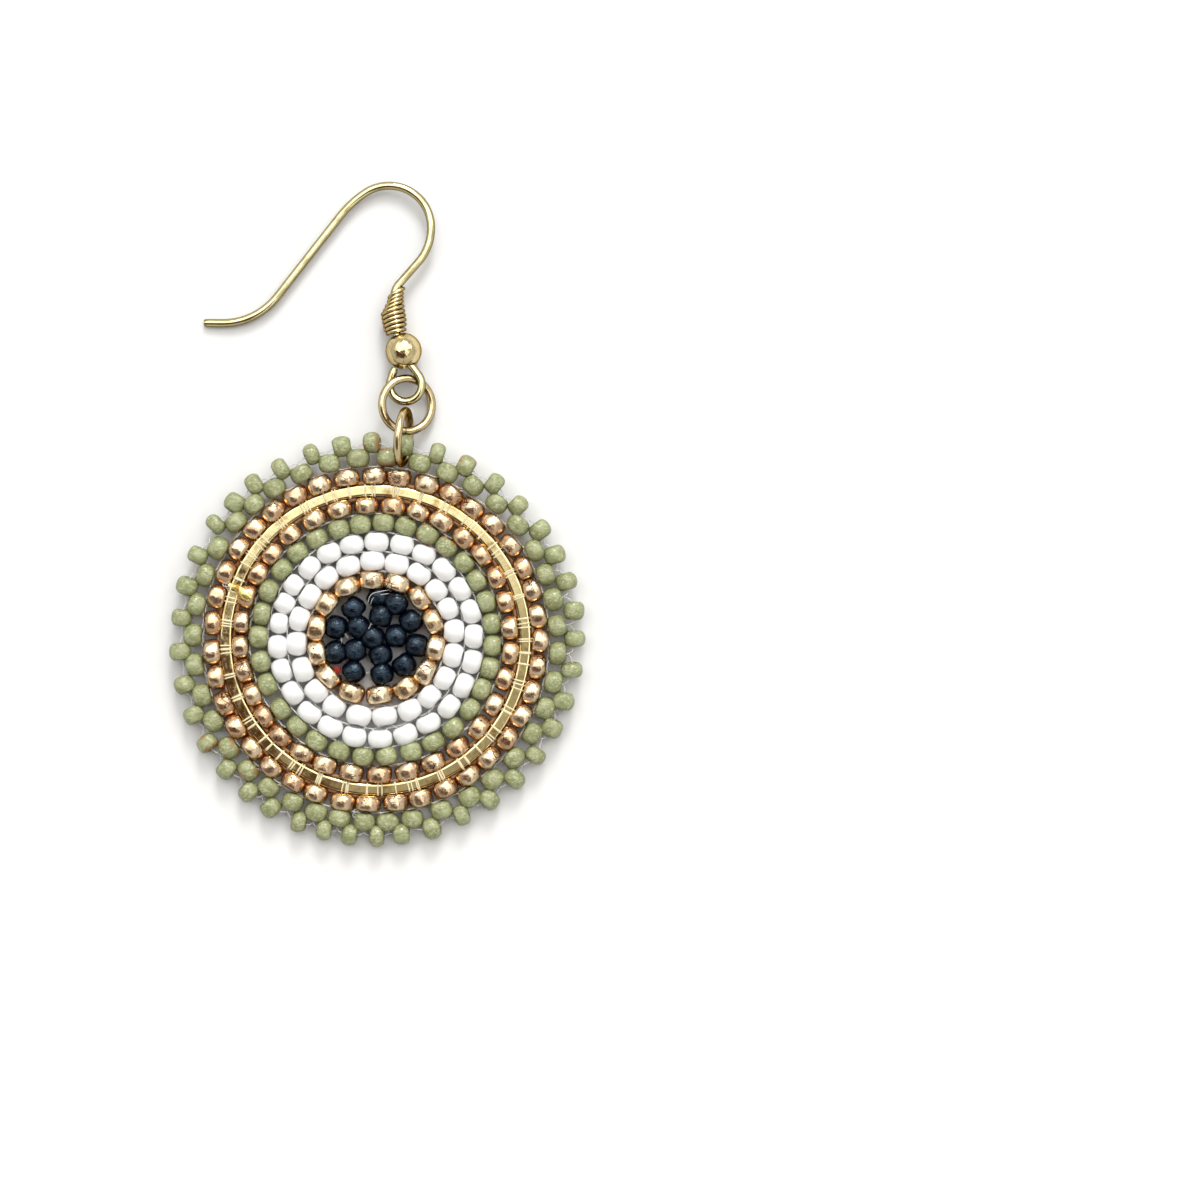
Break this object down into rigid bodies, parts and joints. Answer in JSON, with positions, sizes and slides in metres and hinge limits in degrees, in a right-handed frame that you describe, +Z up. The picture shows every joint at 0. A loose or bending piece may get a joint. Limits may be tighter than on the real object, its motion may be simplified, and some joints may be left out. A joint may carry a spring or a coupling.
{
  "type": "seed bead earring",
  "caption": "Round beaded disc earring: rounds of green, gold, white and navy seed beads stitched about a flat gold hoop, hung by jump rings from a fish-hook ear wire.",
  "frame": {"origin": "on the surface that the earring lies on, under the middle of its outline seen from above", "axes": "+Z up from the surface, out of the disc's face; +Y from the disc towards the ear wire's crown; +X to the right with the ear wire's tip to the left"},
  "size_m": [0.0338, 0.0546, 0.0049],
  "materials": {
    "ear_wire_gold": "bright gold plating over brass wire, tarnished to olive brown in the hollows",
    "coil_gold": "bright gold plated fine wire, darker between its turns",
    "ball_gold": "polished gold plated ball with small scuffs",
    "ring_gold": "gold plated wire, a little duller and browner than the ear wire",
    "hoop_gold": "mirror polished gold plated flat hoop with fine cross marks from the thread",
    "navy_glass": "opaque pressed seed beads, satin gloss, dark navy",
    "gold_glass": "glass seed beads with a rose gold metallic coat, worn to orange at the rims and pitted",
    "white_glass": "opaque pressed seed beads, glossy chalk white",
    "green_glass": "opaque pressed seed beads, matt sage green, faintly mottled, some with rust brown stains",
    "clear_thread": "clear nylon beading thread"
  },
  "bodies": {
    "root": {"ear_hook": "ear_wire_gold", "hook_coil": "coil_gold", "hook_ball": "ball_gold", "upper_jump_ring": "ring_gold", "lower_jump_ring": "ring_gold", "frame_hoop": "hoop_gold", "navy_centre": "navy_glass", "centre_gold_round": "gold_glass", "inner_white_round": "white_glass", "outer_white_round": "white_glass", "middle_green_round": "green_glass", "inner_gold_round": "gold_glass", "outer_gold_round": "gold_glass", "green_edging": "green_glass"}
  },
  "joints": []
}
